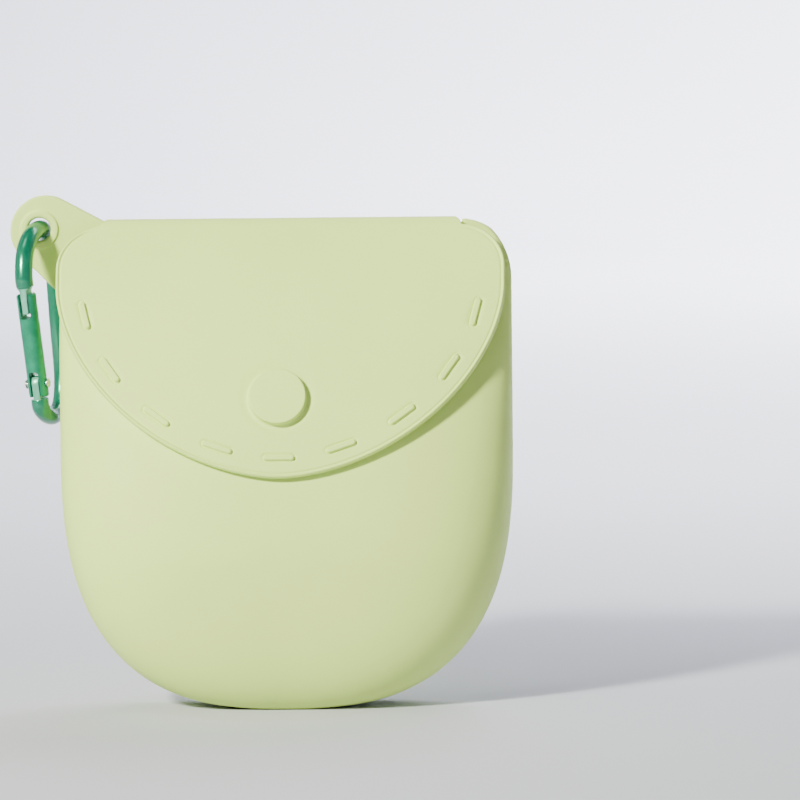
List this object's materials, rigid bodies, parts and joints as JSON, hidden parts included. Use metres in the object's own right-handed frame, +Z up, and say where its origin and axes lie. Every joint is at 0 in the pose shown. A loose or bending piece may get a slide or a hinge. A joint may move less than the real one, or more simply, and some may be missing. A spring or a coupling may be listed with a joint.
{
  "type": "treat pouch",
  "caption": "Soft moulded silicone treat pouch with a D-shaped magnetic flap, a hanging tab with an eyelet, and a small snap carabiner",
  "frame": {"origin": "middle of the small flat foot that the pouch stands on", "axes": "+Z up from the foot to the hanging tab, +Y out of the flat back, -Y out of the front where the flap closes, +X to the right seen from the front"},
  "size_m": [0.1277, 0.0452, 0.1294],
  "materials": {
    "silicone": "matt, pale sage green",
    "anodised_green": "glossy green anodising",
    "steel": "bright zinc plate",
    "magnet": "nickel plate"
  },
  "bodies": {
    "pouch": {"pouch_body": "silicone", "wall_magnet": "magnet", "wall_magnet_plug": "silicone"},
    "flap": {"flap": "silicone", "flap_magnet": "magnet", "flap_magnet_plug": "silicone"},
    "carabiner": {"carabiner_frame": "anodised_green", "gate_rivet": "steel"},
    "gate": {"carabiner_gate": "anodised_green", "gate_spring": "steel", "gate_plunger": "steel"}
  },
  "joints": [
    {"name": "flap_hinge", "type": "hinge", "parent": "pouch", "child": "flap", "pos_m": [0, 0.01392, 0.1233], "axis": [-1, 0, 0], "range_deg": [0, 120]},
    {"name": "carabiner_swing", "type": "hinge", "parent": "pouch", "child": "carabiner", "pos_m": [-0.0628, 0.01601, 0.12065], "axis": [0, 1, 0], "range_deg": [0, 170]},
    {"name": "gate_hinge", "type": "hinge", "parent": "carabiner", "child": "gate", "pos_m": [-0.06299, 0.00487, 0.0822], "axis": [-0.953, 0.2924, -0.08], "range_deg": [0, 28], "stiffness_Nm_per_rad": 0.02, "springref_deg": -17.19}
  ]
}
